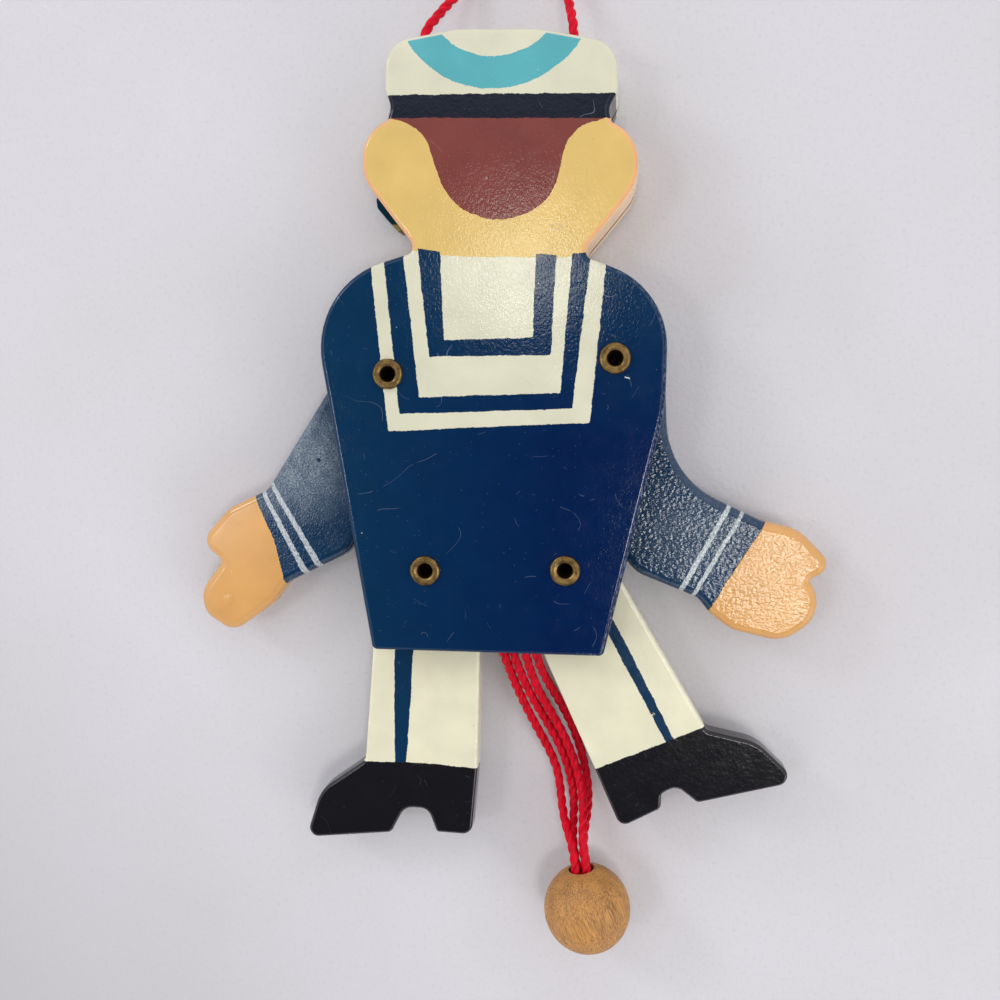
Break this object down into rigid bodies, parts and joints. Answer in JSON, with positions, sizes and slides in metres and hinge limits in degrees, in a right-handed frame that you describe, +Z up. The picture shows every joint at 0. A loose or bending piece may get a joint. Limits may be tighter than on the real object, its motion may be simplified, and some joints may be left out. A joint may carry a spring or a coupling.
{
  "type": "pull string jumping jack",
  "caption": "Flat wooden sailor jumping jack: arms and legs swing out on brass eyelets between two painted body plates when the ball on its strings is pulled.",
  "frame": {"origin": "on the table, below the middle of the toy as it lies on its face, cords left out", "axes": "+Y towards the cap, +X to the right as seen from the back (the sailor's right side), +Z up, out of the back plate"},
  "size_m": [0.1333, 0.2319, 0.0186],
  "materials": {
    "body_paint": "glossy brushed-on navy paint on wood",
    "skin_paint": "glossy skin-coloured paint on wood",
    "trouser_paint": "glossy cream paint on wood",
    "bare_wood": "waxed turned wood",
    "eyelet_brass": "aged, rolled sheet",
    "cord": "twisted red cord"
  },
  "bodies": {
    "body": {"back_plate": "body_paint", "front_plate": "body_paint", "head_spacer": "skin_paint", "left_arm_eyelet": "eyelet_brass", "right_arm_eyelet": "eyelet_brass", "left_leg_eyelet": "eyelet_brass", "right_leg_eyelet": "eyelet_brass", "hanging_cord": "cord"},
    "pull": {"pull_ball": "bare_wood", "left_arm_string": "cord", "right_arm_string": "cord", "left_leg_string": "cord", "right_leg_string": "cord"},
    "left_arm": {"left_arm": "body_paint", "left_arm_knot": "cord"},
    "right_arm": {"right_arm": "body_paint", "right_arm_knot": "cord"},
    "left_leg": {"left_leg": "trouser_paint", "left_leg_knot": "cord"},
    "right_leg": {"right_leg": "trouser_paint", "right_leg_knot": "cord"}
  },
  "joints": [
    {"name": "pull_slide", "type": "slide", "parent": "body", "child": "pull", "axis": [0, -1, 0], "range_m": [0, 0.01], "deforming": ["left_arm_string", "right_arm_string", "left_leg_string", "right_leg_string"]},
    {"name": "left_arm_hinge", "type": "hinge", "parent": "body", "child": "left_arm", "pos_m": [-0.0225, 0.0288, 0.008], "axis": [0, 0, 1], "range_deg": [-73, 0]},
    {"name": "right_arm_hinge", "type": "hinge", "parent": "body", "child": "right_arm", "pos_m": [0.0233, 0.0317, 0.008], "axis": [0, 0, 1], "range_deg": [0, 73]},
    {"name": "left_leg_hinge", "type": "hinge", "parent": "body", "child": "left_leg", "pos_m": [-0.0151, -0.0114, 0.008], "axis": [0, 0, 1], "range_deg": [-73, 0]},
    {"name": "right_leg_hinge", "type": "hinge", "parent": "body", "child": "right_leg", "pos_m": [0.0137, -0.0108, 0.008], "axis": [0, 0, 1], "range_deg": [0, 61]}
  ],
  "couplings": [
    {"joint": "left_arm_hinge", "follows": "pull_slide", "rad_per_m": -125.78},
    {"joint": "right_arm_hinge", "follows": "pull_slide", "rad_per_m": 125.78},
    {"joint": "left_leg_hinge", "follows": "pull_slide", "rad_per_m": -125.78},
    {"joint": "right_leg_hinge", "follows": "pull_slide", "rad_per_m": 104.72}
  ]
}
